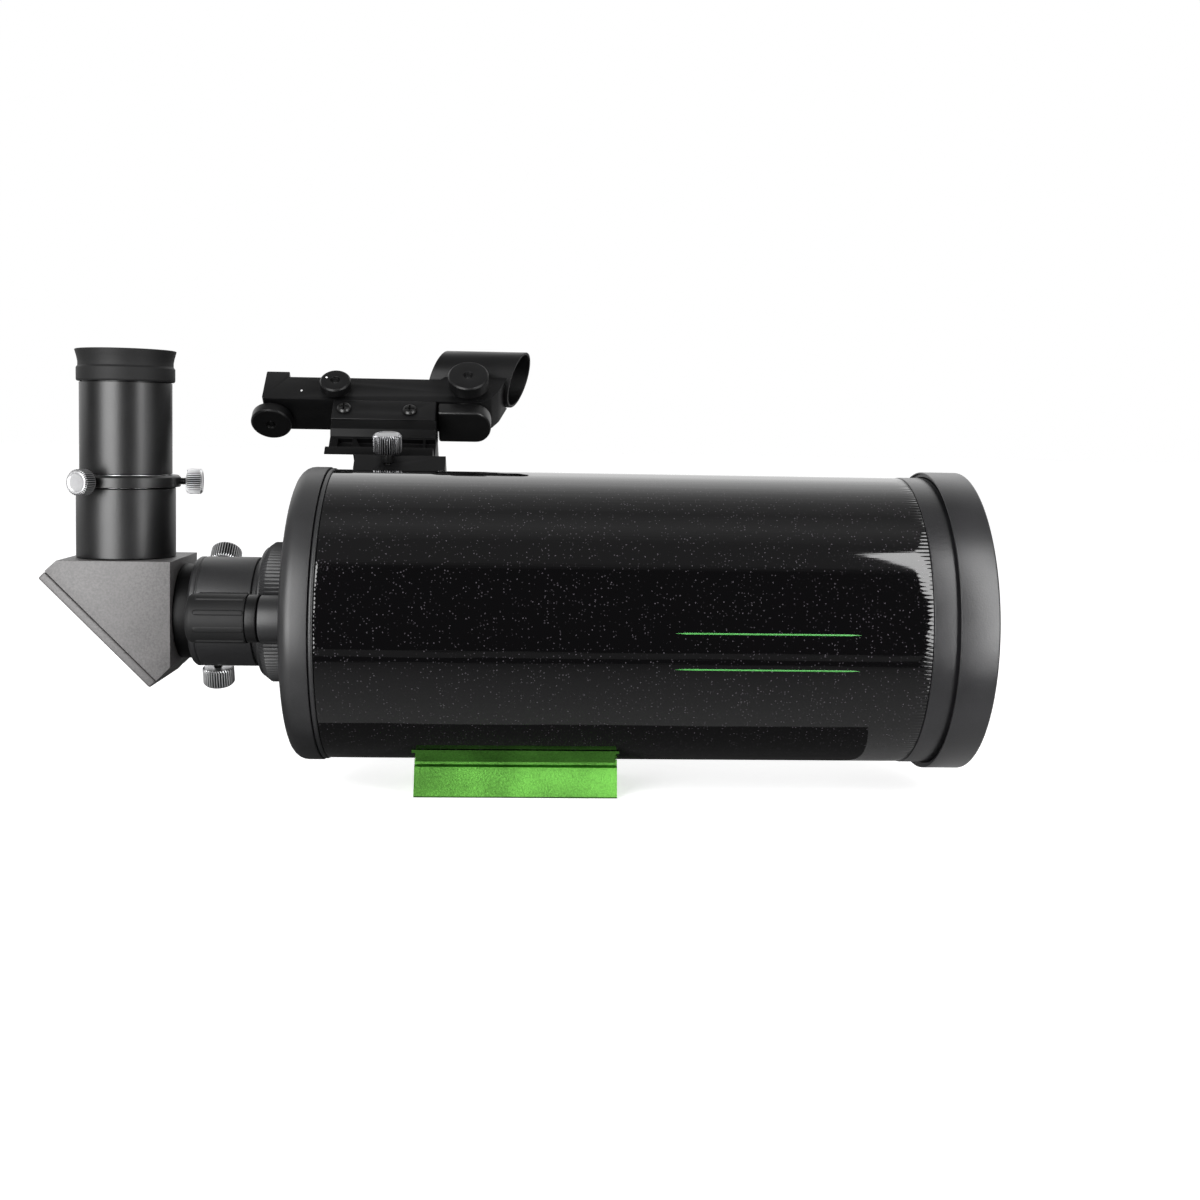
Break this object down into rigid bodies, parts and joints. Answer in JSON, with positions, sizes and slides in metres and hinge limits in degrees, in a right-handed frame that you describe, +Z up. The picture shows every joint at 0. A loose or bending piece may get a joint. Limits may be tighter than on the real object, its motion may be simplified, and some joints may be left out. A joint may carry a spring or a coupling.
{
  "type": "maksutov-cassegrain telescope",
  "caption": "Short closed-tube mirror telescope with star diagonal, eyepiece, focus knob, side-mounted red-dot finder and green dovetail bar.",
  "frame": {"origin": "centre of the dovetail bar's bottom face", "axes": "+X along the optical axis towards the sky, +Z up from the dovetail to the tube, focus knob on the -Y side"},
  "size_m": [0.3602, 0.1695, 0.179],
  "materials": {
    "tube_paint": "gloss",
    "cell_paint": "satin",
    "diagonal_paint": "satin",
    "black_anodised": "satin",
    "green_anodised": "satin",
    "black_plastic": "matte",
    "cap_plastic": "satin",
    "black_rubber": "matte",
    "chrome_metal": "polished",
    "zinc_steel": "satin",
    "optical_glass": "polished",
    "mirror_coating": "polished",
    "red_led": "gloss"
  },
  "bodies": {
    "tube_assembly": {"optical_tube": "tube_paint", "tube_seam_ring": "cell_paint", "rear_cell": "cell_paint", "collimation_screw_1": "zinc_steel", "collimation_screw_2": "zinc_steel", "collimation_screw_3": "zinc_steel", "front_cell": "cell_paint", "lens_retaining_ring": "black_anodised", "meniscus_lens": "optical_glass", "secondary_spot": "mirror_coating", "secondary_baffle": "black_plastic", "primary_baffle_tube": "black_anodised", "focus_bush": "cell_paint", "rear_port": "black_anodised", "visual_back": "cell_paint", "dovetail_bar": "green_anodised", "dovetail_screw_rear": "zinc_steel", "dovetail_screw_front": "zinc_steel", "finder_shoe": "black_plastic"},
    "focus_control": {"focus_shaft": "zinc_steel", "focus_knob": "black_plastic", "focus_grip": "black_rubber"},
    "primary_cell": {"mirror_carriage": "black_anodised", "primary_mirror": "mirror_coating"},
    "lock_ring": {"lock_ring": "cell_paint"},
    "diagonal": {"diagonal_nosepiece": "black_anodised", "diagonal_housing": "diagonal_paint", "diagonal_mirror": "mirror_coating", "diagonal_cover": "diagonal_paint", "eyepiece_holder": "black_anodised", "eyepiece_clamp_ring": "black_anodised"},
    "eyepiece": {"eyepiece_barrel": "chrome_metal", "eyepiece_body": "black_anodised", "field_lens": "optical_glass", "eye_lens": "optical_glass", "eyecup": "black_rubber"},
    "dust_cap": {"dust_cap": "cap_plastic"},
    "finder_base": {"finder_base": "black_plastic"},
    "finder_carriage": {"finder_carriage": "black_plastic", "finder_screw_rear": "zinc_steel", "finder_screw_front": "zinc_steel"},
    "finder_arm": {"finder_arm": "black_plastic", "finder_led": "red_led", "finder_hood": "black_plastic", "finder_lens": "optical_glass"},
    "brightness_knob": {"brightness_knob": "black_plastic"},
    "azimuth_knob": {"azimuth_knob": "black_plastic"},
    "altitude_knob": {"altitude_knob": "black_plastic"},
    "battery_drawer": {"battery_cover": "black_plastic", "battery_cell": "chrome_metal"},
    "visual_back_screw_upper_stud": {"visual_back_screw_upper_stud": "chrome_metal"},
    "visual_back_screw_upper_head": {"visual_back_screw_upper_head": "chrome_metal"},
    "visual_back_screw_lower_stud": {"visual_back_screw_lower_stud": "chrome_metal"},
    "visual_back_screw_lower_head": {"visual_back_screw_lower_head": "chrome_metal"},
    "diagonal_screw_near_stud": {"diagonal_screw_near_stud": "chrome_metal"},
    "diagonal_screw_near_head": {"diagonal_screw_near_head": "chrome_metal"},
    "diagonal_screw_side_stud": {"diagonal_screw_side_stud": "chrome_metal"},
    "diagonal_screw_side_head": {"diagonal_screw_side_head": "chrome_metal"},
    "shoe_screw_stud": {"shoe_screw_stud": "chrome_metal"},
    "shoe_screw_head": {"shoe_screw_head": "chrome_metal"}
  },
  "joints": [
    {"name": "focus_turn", "type": "hinge", "parent": "tube_assembly", "child": "focus_control", "pos_m": [-0.11, -0.038, 0.0713], "axis": [1, 0, 0], "range_deg": [-2705, 1805]},
    {"name": "mirror_travel", "type": "slide", "parent": "tube_assembly", "child": "primary_cell", "axis": [1, 0, 0], "range_m": [-0.004, 0.006]},
    {"name": "lock_ring_turn", "type": "hinge", "parent": "tube_assembly", "child": "lock_ring", "pos_m": [-0.096, 0, 0.069], "axis": [1, 0, 0], "range_deg": [0, 180]},
    {"name": "diagonal_turn", "type": "hinge", "parent": "tube_assembly", "child": "diagonal", "pos_m": [-0.115, 0, 0.069], "axis": [1, 0, 0], "range_deg": [-120, 120]},
    {"name": "eyepiece_lift", "type": "slide", "parent": "diagonal", "child": "eyepiece", "axis": [0, 0, 1], "range_m": [0, 0.029]},
    {"name": "dust_cap_pull", "type": "slide", "parent": "tube_assembly", "child": "dust_cap", "axis": [1, 0, 0], "range_m": [0, 0.03]},
    {"name": "finder_slide", "type": "slide", "parent": "tube_assembly", "child": "finder_base", "axis": [-1, 0, 0], "range_m": [0, 0.046]},
    {"name": "finder_azimuth", "type": "hinge", "parent": "finder_base", "child": "finder_carriage", "pos_m": [-0.061, 0.07425, 0.14325], "axis": [0, 0.7071, 0.7071], "range_deg": [-1.5, 1.5]},
    {"name": "finder_altitude", "type": "hinge", "parent": "finder_carriage", "child": "finder_arm", "pos_m": [-0.061, 0.08061, 0.14961], "axis": [0, 0.7071, -0.7071], "range_deg": [-1.5, 1.5]},
    {"name": "azimuth_turn", "type": "hinge", "parent": "finder_arm", "child": "azimuth_knob", "pos_m": [-0.0248, 0.07396, 0.16418], "axis": [0, -0.7071, 0.7071], "range_deg": [-359, 359]},
    {"name": "altitude_turn", "type": "hinge", "parent": "finder_arm", "child": "altitude_knob", "pos_m": [-0.113, 0.07708, 0.14466], "axis": [0, -0.7071, -0.7071], "range_deg": [-359, 359]},
    {"name": "brightness_turn", "type": "hinge", "parent": "finder_arm", "child": "brightness_knob", "pos_m": [-0.0841, 0.07382, 0.16206], "axis": [0, -0.7071, 0.7071], "range_deg": [0, 270]},
    {"name": "battery_pull", "type": "slide", "parent": "finder_arm", "child": "battery_drawer", "axis": [1, 0, 0], "range_m": [0, 0.022]},
    {"name": "visual_back_screw_upper_travel", "type": "slide", "parent": "tube_assembly", "child": "visual_back_screw_upper_stud", "axis": [0, 0.7071, 0.7071], "range_m": [0, 0.0014]},
    {"name": "visual_back_screw_upper_turn", "type": "hinge", "parent": "visual_back_screw_upper_stud", "child": "visual_back_screw_upper_head", "pos_m": [-0.1205, 0.0198, 0.0888], "axis": [0, 0.7071, 0.7071], "range_deg": [0, 722]},
    {"name": "visual_back_screw_lower_travel", "type": "slide", "parent": "tube_assembly", "child": "visual_back_screw_lower_stud", "axis": [0, 0.2588, -0.9659], "range_m": [0, 0.0014]},
    {"name": "visual_back_screw_lower_turn", "type": "hinge", "parent": "visual_back_screw_lower_stud", "child": "visual_back_screw_lower_head", "pos_m": [-0.1205, 0.00725, 0.04195], "axis": [0, 0.2588, -0.9659], "range_deg": [0, 722]},
    {"name": "diagonal_screw_near_travel", "type": "slide", "parent": "diagonal", "child": "diagonal_screw_near_stud", "axis": [-0.3746, -0.9272, 0], "range_m": [0, 0.0014]},
    {"name": "diagonal_screw_near_turn", "type": "hinge", "parent": "diagonal_screw_near_stud", "child": "diagonal_screw_near_head", "pos_m": [-0.16464, -0.02411, 0.1202], "axis": [-0.3746, -0.9272, 0], "range_deg": [0, 722]},
    {"name": "diagonal_screw_side_travel", "type": "slide", "parent": "diagonal", "child": "diagonal_screw_side_stud", "axis": [0.9903, 0.1392, 0], "range_m": [0, 0.0014]},
    {"name": "diagonal_screw_side_turn", "type": "hinge", "parent": "diagonal_screw_side_stud", "child": "diagonal_screw_side_head", "pos_m": [-0.12915, 0.00362, 0.1202], "axis": [0.9903, 0.1392, 0], "range_deg": [0, 722]},
    {"name": "shoe_screw_travel", "type": "slide", "parent": "tube_assembly", "child": "shoe_screw_stud", "axis": [0, -0.225, 0.9744], "range_m": [0, 0.0014]},
    {"name": "shoe_screw_turn", "type": "hinge", "parent": "shoe_screw_stud", "child": "shoe_screw_head", "pos_m": [-0.0564, 0.03285, 0.13619], "axis": [0, -0.225, 0.9744], "range_deg": [0, 722]}
  ],
  "couplings": [
    {"joint": "focus_turn", "follows": "mirror_travel", "rad_per_m": -7854},
    {"joint": "finder_azimuth", "follows": "azimuth_turn", "ratio": 0.00416},
    {"joint": "finder_altitude", "follows": "altitude_turn", "ratio": 0.00416},
    {"joint": "visual_back_screw_upper_turn", "follows": "visual_back_screw_upper_travel", "rad_per_m": 8976},
    {"joint": "visual_back_screw_lower_turn", "follows": "visual_back_screw_lower_travel", "rad_per_m": 8976},
    {"joint": "diagonal_screw_near_turn", "follows": "diagonal_screw_near_travel", "rad_per_m": 8976},
    {"joint": "diagonal_screw_side_turn", "follows": "diagonal_screw_side_travel", "rad_per_m": 8976},
    {"joint": "shoe_screw_turn", "follows": "shoe_screw_travel", "rad_per_m": 8976}
  ]
}
